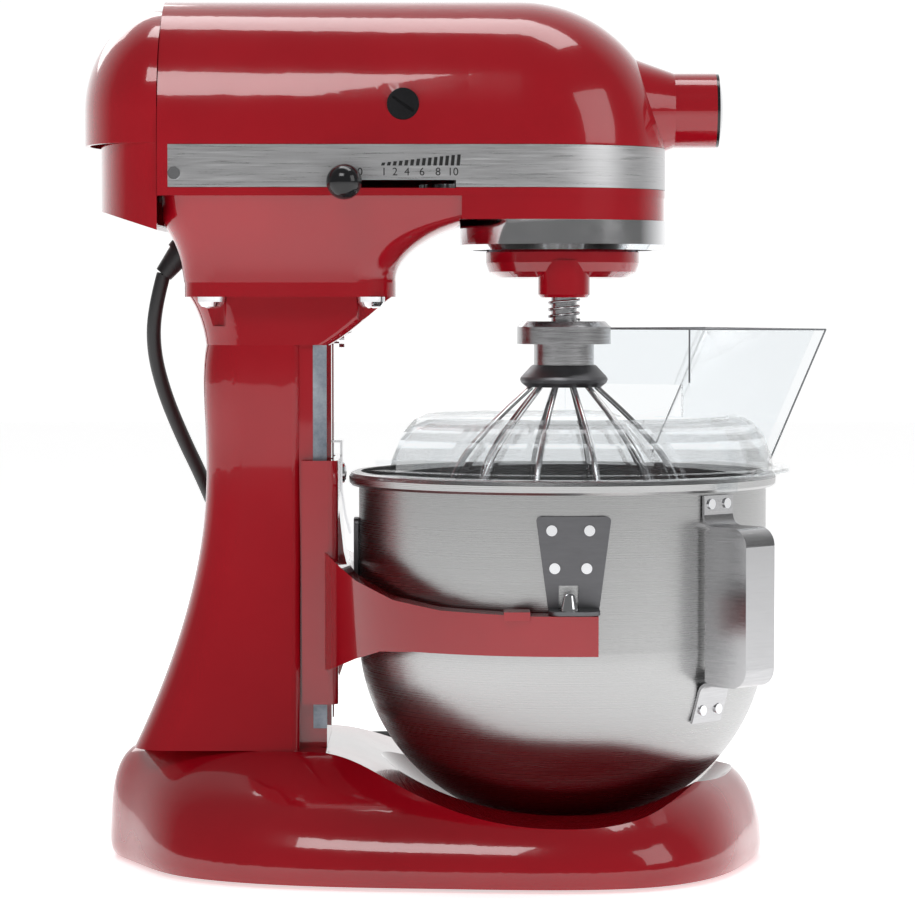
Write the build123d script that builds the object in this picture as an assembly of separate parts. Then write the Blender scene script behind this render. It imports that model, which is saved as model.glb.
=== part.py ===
"""Bowl-lift stand mixer with a planetary head, modelled in millimetres.

+X is the front (the attachment hub), +Z is up, and the origin is on the ground at the bottom
centre of the bounding box. Y = 0 is the mid-plane of the head, column and base.
"""
from build123d import *
import math
import os

os.makedirs("parts", exist_ok=True)

# ---------------------------------------------------------------- driving dimensions
HEIGHT = 415.0                 # ground to the top of the head
AX = 51.0                      # x of the planetary and bowl axis
FLOOR_GAP = 2.0                # height of the casting's edge above the ground

# head
HEAD_HALF = 58.0               # half width of the head at the trim band
BELT_Z = 345.0                 # height where the upper head is widest
HEAD_REAR = -141.0             # plane between the head castings and the rear cover
NOSE_START = 30.0              # x where the nose starts to round
NOSE_LENGTH = 70.7             # from there to the nose
SPLIT_Z = 334.0                # plane between the upper and lower head castings
WALL = 3.0                     # casting wall
BAND_LOW = 324.0
BAND_HIGH = 344.0
BAND_THICK = 1.2
BAND_REAR = -136.0
BAND_SCREW_Z = 330.5
NECK_Z = 279.3                 # foot of the lower head, on the column flange
RING_Z = 309.0                 # underside of the gear case, where the drip ring starts

# hub
HUB_Z = 362.7
HUB_R = 18.0
HUB_END = 125.0
HUB_BORE_R = 14.0

# drip ring, planetary and beater
RING_R = 49.8
RING_LOW = 295.0
PLANET_R = 37.3
BEATER_OFFSET = 26.0           # from the planetary axis to the beater axis, towards -Y
SHAFT_R = 6.1
SHAFT_END = 246.0
GEAR_MODULE = 1.3
RING_TEETH = 56
PINION_TEETH = 16

# whisk
COLLAR_TOP = 260.8
COLLAR_R = 22.4
WHISK_NECK_R = 14.4
WHISK_LOOPS = 6
WHISK_WIRE_R = 1.2
WHISK_R = 61.0
WHISK_LOW = 97.0

# bowl
BOWL_R = 99.0
BOWL_WALL = 1.0
BOWL_RIM = 188.0
BOWL_LOW = 15.0
BOWL_KNEE = 108.0              # height where the straight wall meets the round bottom
HANDLE_AZIMUTH = -45.0
LIFT_TRAVEL = 55.0

# column and yoke
COLUMN_FRONT = -62.5
COLUMN_HALF = 34.0
FOOT_Z = 57.0                  # foot of the column, on the base
FLANGE_LOW = 272.5
WAY_TOP = 249.5
YOKE_TOP = 194.5
YOKE_LOW = 78.0
ARM_IN = 104.0                 # inner and outer radius of the yoke's arms
ARM_OUT = 121.0
ARM_END = 64.0
ARM_TOP = 127.5
ARM_LOW = 109.2
RUN = 0.3                      # clearance between sliding faces

# lift shaft, across the column
LIFT_X = -103.0
LIFT_Z = 158.0
LIFT_SHAFT_R = 6.0
CRANK_R = LIFT_TRAVEL / 2

# motor and gear train
MOTOR_Z = 366.0
MOTOR_Y = 0.0
WORM_Y = -24.0                 # the worm gear's shaft, beside the armature
CENTRE_TEETH = 58
COUNTER_TEETH = 28
WORM_TEETH = 32
WORM_X = AX - math.sqrt((GEAR_MODULE * (CENTRE_TEETH + COUNTER_TEETH) / 2) ** 2 - WORM_Y ** 2)
CENTRE_PHASE = math.degrees(math.atan2(WORM_Y, WORM_X - AX))
PLANET_SHAFT_R = 7.5

FRONT_BEARING_R = 11.0
SHAFT_BORE_R = 9.0
COLUMN_SCREWS_X = (-117.0, -41.0)
COLUMN_SCREW_Y = 39.0

# brushes and knobs
BRUSH_X = -25.6
BRUSH_Z = 363.0
BRUSH_CAP_R = 7.5
HUB_KNOB_X = 112.0
LEVER_X = -52.7                # speed knob at its slowest
LEVER_Z = 325.4
LEVER_TRAVEL = 46.0

# smaller parts of the column, yoke, bowl handle and beater
WAY_REAR = -75.0               # behind this plane the column widens
LINK_HALF = 6.0                # half width of the yoke's lug behind the column's front
YOKE_FRONT = -57.0
PIN_Y = 112.5                  # locating pins from the mid-plane
LATCH_SCREW_Z = 187.0
HANDLE_REACH = 26.0            # lift handle, shaft to grip
HANDLE_HALF = 10.2             # bowl handle
HANDLE_OUT = 125.2
HANDLE_TOP = 165.0
HANDLE_BOTTOM = 92.0
HANDLE_RIVET_TOP = 176.0
HANDLE_RIVET_LOW = 79.0
PINION_PHASE = 0.0             # turn of the beater's pinion, a tooth in a gap of the ring gear

# cord
CORD_R = 3.5


# ---------------------------------------------------------------- helpers
def save(name, *solids):
    """Write the node's solids to parts/NAME.step."""
    found = []
    for item in solids:
        found.extend(item.solids())
    shape = found[0] if len(found) == 1 else Compound(children=found)
    export_step(shape, f"parts/{name}.step")


def box(x0, x1, y0, y1, z0, z1):
    """A box between the two corners."""
    middle = ((x0 + x1) / 2, (y0 + y1) / 2, (z0 + z1) / 2)
    return Pos(*middle) * Box(abs(x1 - x0), abs(y1 - y0), abs(z1 - z0))


def rod(start, end, radius):
    """A round rod from start to end."""
    path = Vector(*end) - Vector(*start)
    plane = Plane(origin=start, z_dir=path)
    return extrude(plane * Circle(radius), path.length)


def tube(start, end, outer, inner):
    """A round tube from start to end."""
    return rod(start, end, outer) - rod(start, end, inner)


def turned(profile, x=0.0, y=0.0):
    """A solid turned about the vertical line at (x, y), from (radius, height) points."""
    outline = Plane.XZ * make_face(Polyline(*profile, close=True))
    return Pos(x, y, 0) * revolve(outline, Axis.Z)


def side_plate(points, y0, y1):
    """A plate whose (x, z) outline is given, between two depths."""
    outline = Plane.XZ * make_face(Polyline(*points, close=True))
    return Pos(0, y1, 0) * extrude(outline, y1 - y0)


def both_sides(shape):
    """The shape and its mirror image across the mid-plane."""
    return [shape, mirror(shape, Plane.XZ)]


def rounded_section(x0, x1, half, rear_radius, front_radius, z):
    """A level section, rounded more at one end than at the other."""
    outline = make_face(Polyline((x0, -half), (x1, -half), (x1, half), (x0, half), close=True))
    rear = [v for v in outline.vertices() if v.X < (x0 + x1) / 2]
    outline = fillet(rear, rear_radius)
    front = [v for v in outline.vertices() if v.X > x1 - 0.01]
    outline = fillet(front, front_radius)
    return Pos(0, 0, z) * outline


def spur_gear(teeth, bore, thickness):
    """A spur gear about Z with short straight-sided teeth."""
    pitch_r = GEAR_MODULE * teeth / 2
    root = pitch_r - 0.9 * GEAR_MODULE
    tip = pitch_r + 0.6 * GEAR_MODULE
    pitch = 2 * math.pi / teeth
    points = []
    for index in range(teeth):
        middle = index * pitch
        for radius, share in ((root, -0.30), (tip, -0.13), (tip, 0.13), (root, 0.30)):
            angle = middle + share * pitch
            points.append((radius * math.cos(angle), radius * math.sin(angle)))
    blank = extrude(make_face(Polyline(*points, close=True)), thickness)
    return blank - Cylinder(bore, 4 * thickness)


def ring_gear_solid(teeth, outer, thickness):
    """An internal gear about Z with short straight-sided teeth."""
    pitch_r = GEAR_MODULE * teeth / 2
    root = pitch_r + 0.9 * GEAR_MODULE
    tip = pitch_r - 0.6 * GEAR_MODULE
    pitch = 2 * math.pi / teeth
    points = []
    for index in range(teeth):
        middle = (index + 0.5) * pitch
        for radius, share in ((root, -0.30), (tip, -0.13), (tip, 0.13), (root, 0.30)):
            angle = middle + share * pitch
            points.append((radius * math.cos(angle), radius * math.sin(angle)))
    hole = extrude(make_face(Polyline(*points, close=True)), thickness)
    return extrude(Circle(outer), thickness) - hole


# ---------------------------------------------------------------- head castings
def head_plan(inset):
    """The head's plan at the belt: a straight body and a half-elliptic nose."""
    half = HEAD_HALF - inset
    length = NOSE_LENGTH - inset
    nose = EllipticalCenterArc((NOSE_START, 0), length, half, start_angle=-90, arc_size=180)
    rear = HEAD_REAR
    sides = Polyline(nose @ 1, (rear, half), (rear, -half), nose @ 0)
    return make_face(nose + sides)


def head_arch(half, height, x, z):
    """An upright half-elliptic section across the head."""
    arch = EllipticalCenterArc((0, 0), half, height, start_angle=0, arc_size=180)
    section = make_face(arch + Line(arch @ 1, arch @ 0))
    return Plane(origin=(x, 0, z), x_dir=(0, 1, 0), z_dir=(1, 0, 0)) * section


def head_nose(inset):
    """The nose above the belt, a quarter ellipsoid."""
    height = HEIGHT - BELT_Z - inset
    half = HEAD_HALF - inset
    length = NOSE_LENGTH - inset
    sections = []
    for share in (0.0, 0.2, 0.4, 0.6, 0.75, 0.87, 0.95, 0.985):
        close = math.sqrt(1 - share ** 2)
        sections.append(head_arch(half * close, height * close, NOSE_START + length * share, BELT_Z))
    return loft(sections)


def band_recess():
    """The shallow belt that the trim band lies in."""
    outer = extrude(Pos(0, 0, BAND_LOW - 0.2) * head_plan(-2.0), BAND_HIGH - BAND_LOW + 0.4)
    inner = extrude(Pos(0, 0, BAND_LOW - 0.2) * head_plan(BAND_THICK + 0.05), BAND_HIGH - BAND_LOW + 0.4)
    behind = box(HEAD_REAR - 5, BAND_REAR, -80, 80, BAND_LOW - 1, BAND_HIGH + 1)
    return outer - inner - behind


def upper_housing():
    """The upper casting in three spans that meet face to face: barrel, nose with hub, and skirt."""
    ring = head_arch(HEAD_HALF, HEIGHT - BELT_Z, HEAD_REAR, BELT_Z)
    ring -= head_arch(HEAD_HALF - WALL, HEIGHT - BELT_Z - WALL, HEAD_REAR, BELT_Z)
    barrel = extrude(ring, NOSE_START - HEAD_REAR)
    barrel -= rod((BRUSH_X, -70, BRUSH_Z), (BRUSH_X, 70, BRUSH_Z), BRUSH_CAP_R + 0.1)
    skirt_face = head_plan(0.0) - head_plan(WALL)
    skirt = extrude(Pos(0, 0, SPLIT_Z) * skirt_face, BELT_Z - SPLIT_Z) - band_recess()
    bore = rod((AX, 0, HUB_Z), (HUB_END + 1, 0, HUB_Z), HUB_BORE_R)
    boss = rod((NOSE_START + 50, 0, HUB_Z), (HUB_END, 0, HUB_Z), HUB_R)
    root = Plane(origin=(NOSE_START + 50, 0, HUB_Z), z_dir=(1, 0, 0)) * Circle(HUB_R + 9)
    flare = loft([root, Plane(origin=(AX + 54.5, 0, HUB_Z), z_dir=(1, 0, 0)) * Circle(HUB_R - 0.2)])
    cavity = head_nose(WALL)
    hub = boss + flare - bore - cavity
    hub -= extrude(Pos(0, 0, SPLIT_Z) * head_plan(0.0), BELT_Z - SPLIT_Z)
    nose = head_nose(0.0) - cavity - bore + hub
    nose -= rod((HUB_END - 3, 0, HUB_Z), (HUB_END + 1, 0, HUB_Z), HUB_R - 2.5)
    nose -= rod((HUB_KNOB_X, 10, HUB_Z), (HUB_KNOB_X, 60, HUB_Z), 3.05)
    return [barrel, nose, skirt]


def lower_outer(inset):
    """Outer form of the lower head casting: a belt, a gear case and a waisted neck."""
    belt = extrude(Pos(0, 0, BAND_LOW - 4) * head_plan(inset), SPLIT_Z - BAND_LOW + 4)
    case = extrude(Pos(0, 0, RING_Z + inset) * head_plan(inset + 0.4), SPLIT_Z - RING_Z - inset)
    case &= box(2, 200, -80, 80, 0, SPLIT_Z)
    sections = []
    for rise, front, rear, half in NECK_SHAPE:
        level = NECK_Z + rise
        sections.append(rounded_section(rear + inset, front - inset, half - inset, 16, 20, level))
    return belt + case + loft(sections)


# the neck's sections: height above its foot, front x, rear x and half width
NECK_SHAPE = (
    (0.0, -29.5, -130.5, 46.5),
    (8.0, -27.8, -131.6, 47.0),
    (17.0, -19.0, -134.0, 48.5),
    (25.0, -3.0, -138.0, 51.0),
    (33.0, 24.0, -140.6, 54.5),
    (45.0, 40.0, -141.0, 57.6),
)


def lower_housing():
    shell = lower_outer(0.0) - lower_outer(WALL)
    shell -= box(-124, -36, -36, 36, NECK_Z - 1, NECK_Z + 6)
    shell += rod((AX, 0, RING_Z), (AX, 0, RING_Z + WALL + 1), SHAFT_BORE_R + 5)
    shell -= box(AX - RING_R - 0.2, AX + 60, -80, 80, NECK_Z - 1, RING_Z)
    shell -= rod((AX, 0, RING_Z - 10), (AX, 0, RING_Z + 10), SHAFT_BORE_R)
    shell -= band_recess()
    slot = box(LEVER_X - 4, LEVER_X + LEVER_TRAVEL + 6, -70, -40, LEVER_Z - 1.9, LEVER_Z + 1.9)
    shell -= slot
    for side in (-1, 1):
        shell -= rod((BAND_REAR + 3, side * 50, BAND_SCREW_Z), (BAND_REAR + 3, side * 70, BAND_SCREW_Z), 1.2)
    for x in COLUMN_SCREWS_X:
        for y in (-COLUMN_SCREW_Y, COLUMN_SCREW_Y):
            boss = rod((x, y, NECK_Z), (x, y, NECK_Z + 16), 6.5) & lower_outer(0.1)
            shell += boss
            shell -= rod((x, y, NECK_Z - 1), (x, y, NECK_Z + 13), 2.5)
    return shell


def rear_cover_outer(inset):
    """The domed rear cover with its lower lobe."""
    depth = 39.4 - inset
    half = 56.6 - inset
    height = 49.5 - inset
    centre_z = 361.5
    upright = (Align.NONE, Align.NONE, Align.NONE)
    quarter = Rot(0, 0, 90) * Sphere(1, arc_size1=0, arc_size2=90, arc_size3=180, align=upright)
    dome = Pos(HEAD_REAR, 0, centre_z) * scale(quarter, by=(depth, half, height))

    def level(reach, width, z0, z1):
        arc = EllipticalCenterArc((HEAD_REAR, 0), reach, width, start_angle=90, arc_size=180)
        plan = make_face(arc + Line(arc @ 1, arc @ 0))
        return extrude(Pos(0, 0, z0) * plan, z1 - z0)

    waist = level(depth, half, 345.0, centre_z)
    lobe = level(31.5 - inset, half - 0.3, 303.0 + inset, 345.5)
    slope = side_plate(((HEAD_REAR + 1, 303.5 + inset), (HEAD_REAR - 27, 312.5 + inset),
                        (HEAD_REAR - 60, 321.0 + inset), (HEAD_REAR - 60, 290), (HEAD_REAR + 1, 290)), -80, 80)
    return dome + waist + (lobe - slope)


def rear_cover():
    shell = rear_cover_outer(0.0) - rear_cover_outer(WALL - 0.5)
    shell -= box(HEAD_REAR - RUN, HEAD_REAR + 5, -80, 80, 280, 420)
    return shell


def trim_band():
    outer = extrude(Pos(0, 0, BAND_LOW) * head_plan(0.0), BAND_HIGH - BAND_LOW)
    inner = extrude(Pos(0, 0, BAND_LOW - 1) * head_plan(BAND_THICK), BAND_HIGH - BAND_LOW + 2)
    strap = outer - inner - box(HEAD_REAR - 5, BAND_REAR, -80, 80, 300, 360)
    strap -= box(LEVER_X - 4, LEVER_X + LEVER_TRAVEL + 6, -70, -40, BAND_LOW - 1, LEVER_Z + 1.9)
    for side in (-1, 1):
        strap -= rod((BAND_REAR + 3, side * 50, BAND_SCREW_Z), (BAND_REAR + 3, side * 70, BAND_SCREW_Z), 1.2)
    return strap


# ---------------------------------------------------------------- column and base
def column_rear(z):
    """x of the column's rear face: upright above, swept back towards the foot."""
    fall = max(0.0, (185.0 - z) / (185.0 - FOOT_Z))
    return -121.0 - 34.0 * fall ** 1.8


def column_half(z):
    """Half width of the column behind its ways."""
    fall = max(0.0, (185.0 - z) / (185.0 - FOOT_Z))
    return COLUMN_HALF + 2 + 13.0 * fall ** 1.6


def column_outer():
    """The column's outer form with its foot, front block, flare and flange."""
    rear = []
    for z in (FOOT_Z, 72.0, 92.0, 118.0, 150.0, 185.0, WAY_TOP):
        rear.append(rounded_section(column_rear(z), WAY_REAR, column_half(z), 18, 4, z))
    body = loft(rear)
    block = box(WAY_REAR - 8, COLUMN_FRONT, -COLUMN_HALF, COLUMN_HALF, FOOT_Z, WAY_TOP)
    flare = []
    for z, front, back in ((WAY_TOP, -61.0, -121.0), (255.5, -52.0, -122.0),
                           (265.0, -40.5, -125.0), (FLANGE_LOW, -31.0, -129.0)):
        flare.append(rounded_section(back, front, COLUMN_HALF + 2, 18, 6, z))
    flange = extrude(rounded_section(-130.2, -29.5, 46.5, 16, 20, FLANGE_LOW), NECK_Z - FLANGE_LOW)
    ribs = [box(COLUMN_FRONT, COLUMN_FRONT + 1.8, s * 10, s * 22, FOOT_Z + 9, WAY_TOP) for s in (-1, 1)]
    return body + block + loft(flare) + flange + ribs


def column():
    shell = column_outer()
    shell -= box(-114, -66, -29, 29, FOOT_Z - 1, 262)
    shell -= box(-112, -52, -28, 28, 255, NECK_Z + 1)
    shell -= box(-67, -55, -LINK_HALF - 1.0, LINK_HALF + 1.0, LIFT_Z - CRANK_R - 15.0, LIFT_Z + CRANK_R + 15.0)
    for side in (-1, 1):
        shell -= box(-69, COLUMN_FRONT, side * (COLUMN_HALF - 1.0), side * (COLUMN_HALF + 5),
                     FOOT_Z + 9, WAY_TOP)
    shell -= rod((LIFT_X, 20, LIFT_Z), (LIFT_X, 60, LIFT_Z), LIFT_SHAFT_R + 0.05)
    for x in COLUMN_SCREWS_X:
        for y in (-COLUMN_SCREW_Y, COLUMN_SCREW_Y):
            shell -= rod((x, y, FLANGE_LOW - 14), (x, y, FLANGE_LOW), 7.6)
            shell -= rod((x, y, FLANGE_LOW - 1), (x, y, NECK_Z + 1), 2.6)
    shell -= rod((-75, 0, WAY_TOP + 2.2), (-50, 0, WAY_TOP + 2.2), 2.0)
    shell -= rod((-57.6, 0, WAY_TOP + 2.2), (-50, 0, WAY_TOP + 2.2), 4.4)
    for x, y in COLUMN_BOLTS:
        shell -= rod((x, y, FOOT_Z - 1), (x, y, 70.0), 3.05)
    return shell


def guide_ways():
    """Bare steel strips, one each side of the column's front."""
    strip = box(-69, COLUMN_FRONT, COLUMN_HALF - 1.0, COLUMN_HALF + 0.3, FOOT_Z + 9, WAY_TOP)
    save("guide_ways", *both_sides(strip))


def column_screws():
    """Chrome pan screws up through the flange into the head."""
    screws = []
    for x in COLUMN_SCREWS_X:
        for y in (-COLUMN_SCREW_Y, COLUMN_SCREW_Y):
            profile = ((0, FLANGE_LOW), (6.6, FLANGE_LOW), (6.4, FLANGE_LOW - 2.4), (4.8, FLANGE_LOW - 4.6),
                       (2.2, FLANGE_LOW - 5.4), (0, FLANGE_LOW - 5.4))
            screw = turned(profile, x, y) + rod((x, y, FLANGE_LOW), (x, y, NECK_Z + 12), 2.45)
            for turn in (0, 90):
                cut = Pos(x, y, FLANGE_LOW - 5) * Rot(0, 0, turn) * Box(6.0, 1.1, 2.4)
                screw -= cut
            screws.append(screw)
    stop = rod((-71, 0, WAY_TOP + 2.2), (-57.5, 0, WAY_TOP + 2.2), 1.95)
    screws.append(stop + rod((-57.5, 0, WAY_TOP + 2.2), (-55.0, 0, WAY_TOP + 2.2), 4.0))
    save("column_screws", *screws)


# plan outline of the base: x and half width, from the rear to the front
BASE_PLAN = ((-160.0, 31.0), (-133.0, 77.0), (-79.0, 105.0), (-6.0, 115.0), (55.0, 118.0),
             (95.0, 108.0), (124.0, 78.0), (141.0, 36.0))
BASE_REAR = -169.0
BASE_FRONT = 148.6
BASE_HALF = 118.0
# the base's sides: height, rear x, front x and half width
BASE_LEVELS = ((2.0, -167.0, 147.2, 116.6), (8.0, -168.9, 148.6, 118.0), (20.0, -168.6, 147.2, 114.5),
               (30.0, -168.0, 143.8, 106.0), (39.0, -166.5, 138.4, 94.0), (47.0, -163.5, 128.5, 80.0),
               (53.0, -158.5, 116.0, 68.0), (57.0, -151.5, 104.0, 58.0))


def base_outline(z, rear, front, half):
    """The base's plan outline, stretched to the given rear, front and half width."""
    span = (front - rear) / (BASE_FRONT - BASE_REAR)
    points = [(rear, 0)]
    for x, y in BASE_PLAN:
        points.append((rear + (x - BASE_REAR) * span, y * half / BASE_HALF))
    points.append((front, 0))
    for x, y in reversed(BASE_PLAN):
        points.append((rear + (x - BASE_REAR) * span, -y * half / BASE_HALF))
    return Pos(0, 0, z) * make_face(Spline(*points, periodic=True))


def base_outer(inset):
    """The base's domed sides under a saddle-shaped top."""
    sections = []
    for z, rear, front, half in BASE_LEVELS:
        sections.append(base_outline(z, rear + inset, front - inset, half - inset))
    body = loft(sections)
    crest = Spline((-66, FOOT_Z - inset), (-30, 46.0 - inset), (10, 32.5 - inset), (48, 28.5 - inset),
                   (90, 33.5 - inset), (128, 48.0 - inset), tangents=[(1, -0.05), (1, 0.2)])
    lid = Polyline(crest @ 1, (200, 70), (200, -5), (-200, -5), (-200, FOOT_Z - inset), crest @ 0)
    saddle = Plane.XZ * make_face(crest + lid)
    return body & (Pos(0, 150, 0) * extrude(saddle, 300))


def dish(gap):
    """The well under the bowl, a flattened ball."""
    lift = 109.0
    return Pos(AX, 0, lift) * scale(Sphere(1), by=(110.0 + gap, 110.0 + gap, 100.0 + gap))


COLUMN_BOLTS = ((-134.0, 20.0), (-134.0, -20.0), (-80.0, 31.5), (-80.0, -31.5))
FEET = ((-128.0, 48.0), (-128.0, -48.0), (8.0, 92.0), (8.0, -92.0), (120.0, 0.0))


def base():
    cavity = base_outer(5.0) - dish(4.0)
    cavity &= box(-200, 200, -200, 200, 1.0, 51.0)
    shell = base_outer(0.0) - dish(0.0) - cavity
    for x, y in FEET:
        shell += (rod((x, y, 6.0), (x, y, 50.0), 12.5) & base_outer(2.0)) - dish(0.0)
        shell -= rod((x, y, 0.0), (x, y, 18.0), 2.0)
    for x, y in COLUMN_BOLTS:
        shell -= rod((x, y, 50.0), (x, y, FOOT_Z + 1), 3.05)
    return shell


def base_parts():
    save("base", base())
    feet = []
    screws = []
    for x, y in FEET:
        foot = turned(((2.1, 0.0), (9.5, 0.0), (11.0, 1.2), (11.8, 6.0), (2.1, 6.0)), x, y)
        foot -= rod((x, y, -1), (x, y, 2.4), 4.2)
        feet.append(foot)
        screws.append(rod((x, y, 0.8), (x, y, 2.4), 3.9) + rod((x, y, 2.4), (x, y, 17.0), 1.9))
    save("feet", *feet)
    for x, y in COLUMN_BOLTS:
        screws.append(rod((x, y, 47.0), (x, y, 50.9), 5.5) + rod((x, y, 50.9), (x, y, 69.0), 3.0))
    save("base_screws", *screws)


def column_parts():
    save("column", column())
    guide_ways()
    column_screws()


# ---------------------------------------------------------------- yoke, lift and latch
def arm_ring(inner, outer):
    """A level half ring open to the front, with straight ends, drawn from plan."""
    ring = extrude(Circle(outer) - Circle(inner), 200)
    ring -= box(0, 200, -200, 200, -1, 201)
    ends = [box(-0.1, ARM_END - AX, s * inner, s * outer, 0, 200) for s in (-1, 1)]
    return Pos(AX, 0, 0) * (ring + ends)


def yoke():
    profile = side_plate(((ARM_END, ARM_TOP), (34, ARM_TOP), (-8, 129.0), (-30, 132.5), (-48, 140), (-62, 150), (-75, 158),
                          (-75, 92), (-62, 95), (-48, 103), (-36, 108), (-20, ARM_LOW), (ARM_END, ARM_LOW)),
                         -140, 140)
    arms = arm_ring(ARM_IN, ARM_OUT) & profile
    arms += [box(21, 33, s * ARM_IN, s * ARM_OUT, ARM_TOP - 2, ARM_TOP + 2.0) for s in (-1, 1)]
    slider = box(WAY_REAR + RUN + 0.5, YOKE_FRONT, -40, 40, YOKE_LOW, YOKE_TOP)
    slider = fillet(slider.edges().filter_by(Axis.Z).group_by(Axis.X)[-1], 5)
    breast = side_plate(((-61, 176), (-57, 170), (-54.8, 150), (-52.4, 140), (-51.8, 128), (-51.8, 112),
                         (-53.5, 100), (-57, 90), (-61, 86)), -22, 22)
    body = slider + breast + arms
    body -= box(WAY_REAR - 5, COLUMN_FRONT + RUN, -COLUMN_HALF - RUN - 0.3, COLUMN_HALF + RUN + 0.3, 40, 240)
    body -= [box(COLUMN_FRONT, COLUMN_FRONT + 2.3, s * 9, s * 23, 40, 240) for s in (-1, 1)]
    body -= box(-200, WAY_REAR + RUN + 0.5, -50, 50, 40, 240)
    body -= Pos(AX, 0, 0) * Cylinder(100.5, 600)
    middle = LIFT_Z - CRANK_R
    link = box(-113.5, COLUMN_FRONT + 1.0, -LINK_HALF, LINK_HALF, middle - 14, middle + 14)
    link -= box(-110, -69, -20, 20, middle - 10.5, middle + 10.5)
    return body + link


def locating_pins():
    """Tapered pins on the yoke's arms that the bowl's brackets drop over."""
    pin = turned(((0, ARM_TOP - 6), (2.5, ARM_TOP - 6), (2.5, ARM_TOP), (4.2, ARM_TOP), (3.9, ARM_TOP + 3.0),
                  (2.4, ARM_TOP + 9.0), (1.4, ARM_TOP + 9.6), (0, ARM_TOP + 9.6)), AX, PIN_Y)
    return both_sides(pin)


def latch_spring():
    """The chrome leaf that snaps over the plate on the back of the bowl."""
    path = FilletPolyline((-56.4, YOKE_TOP + 8.5), (-56.4, YOKE_TOP - 16), (-54.4, 166), (-52.2, 157.5),
                          radius=(12, 12))
    leaf = Plane.XZ * trace(path, 1.1)
    leaf = Pos(0, 7, 0) * extrude(leaf, 14)
    tab = box(-61, -56.4, -7, 7, YOKE_TOP + 7.4, YOKE_TOP + 8.5)
    leaf += tab
    return leaf - rod((-60, 0, LATCH_SCREW_Z), (-50, 0, LATCH_SCREW_Z), 2.2)


def yoke_parts():
    body = yoke()
    pins = locating_pins()
    for y in (-PIN_Y, PIN_Y):
        body -= rod((AX, y, ARM_TOP - 6), (AX, y, ARM_TOP + 1), 2.52)
    body -= rod((-61.9, 0, LATCH_SCREW_Z), (-50, 0, LATCH_SCREW_Z), 2.0)
    save("yoke", body)
    save("locating_pins", *pins)
    save("latch_spring", latch_spring())
    head = turned(((0, 0), (5.2, 0), (5.0, 0.9), (3.4, 1.6), (0, 1.9)))
    head = Pos(-55.8, 0, LATCH_SCREW_Z) * Rot(0, 90, 0) * head
    save("latch_screw", head + rod((-61.5, 0, LATCH_SCREW_Z), (-55.8, 0, LATCH_SCREW_Z), 1.95))


def lift_parts():
    """Cross shaft, crank, outside handle and grip."""
    shaft = rod((LIFT_X, 8.5, LIFT_Z), (LIFT_X, 54, LIFT_Z), LIFT_SHAFT_R)
    pin_z = LIFT_Z - CRANK_R
    crank = rod((LIFT_X, 8, LIFT_Z), (LIFT_X, 14, LIFT_Z), 9.0)
    crank += box(LIFT_X - 5, LIFT_X + 5, 8, 14, pin_z, LIFT_Z)
    crank += rod((LIFT_X, 8, pin_z), (LIFT_X, 14, pin_z), 5.0)
    crank -= rod((LIFT_X, 7, LIFT_Z), (LIFT_X, 15, LIFT_Z), LIFT_SHAFT_R + 0.02)
    crank += rod((LIFT_X, -8, pin_z), (LIFT_X, 8, pin_z), 4.0)
    save("lift_shaft", shaft, crank)
    low = LIFT_Z - HANDLE_REACH
    arm = rod((LIFT_X, 48, LIFT_Z), (LIFT_X, 56, LIFT_Z), 10.0)
    arm += side_plate(((LIFT_X - 8, LIFT_Z), (LIFT_X + 8, LIFT_Z), (LIFT_X + 5, low), (LIFT_X - 5, low)), 49.5, 54.5)
    arm += rod((LIFT_X, 49.5, low), (LIFT_X, 54.5, low), 5.0)
    arm += rod((LIFT_X, 54.5, low), (LIFT_X, 62.0, low), 3.0)
    arm -= rod((LIFT_X, 47, LIFT_Z), (LIFT_X, 54, LIFT_Z), LIFT_SHAFT_R + 0.02)
    save("lift_handle", arm)
    ball = Pos(LIFT_X, 62.0, low) * Sphere(9.0) - rod((LIFT_X, 50, low), (LIFT_X, 62.0, low), 3.02)
    ball -= box(LIFT_X - 20, LIFT_X + 20, 50, 54.8, low - 20, low + 20)
    save("lift_grip", ball)


# ---------------------------------------------------------------- bowl, handle and shield
def bowl_form(inset):
    """The bowl's solid form: a straight wall over a flattened round bottom."""
    radius = BOWL_R - inset
    depth = BOWL_KNEE - BOWL_LOW - inset
    bottom = EllipticalCenterArc((0, BOWL_KNEE), radius, depth, start_angle=-90, arc_size=90)
    wall = Polyline(bottom @ 1, (radius, BOWL_RIM), (0, BOWL_RIM), bottom @ 0)
    return revolve(Plane.XZ * make_face(bottom + wall), Axis.Z)


def bowl():
    rim = turned(((BOWL_R - 0.5, BOWL_RIM - 7.0), (BOWL_R + 3.6, BOWL_RIM - 6.6), (BOWL_R + 4.6, BOWL_RIM - 5.4),
                  (BOWL_R + 4.8, BOWL_RIM - 2.4), (BOWL_R + 3.6, BOWL_RIM - 0.6), (BOWL_R + 2.0, BOWL_RIM),
                  (BOWL_R - 0.5, BOWL_RIM)))
    return Pos(AX, 0, 0) * (bowl_form(0) - bowl_form(BOWL_WALL) + rim)


def on_handle(shape):
    """Place a shape drawn in the handle's own frame: u outward, z up, t across."""
    return Pos(AX, 0, 0) * Rot(0, 0, HANDLE_AZIMUTH) * shape


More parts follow.
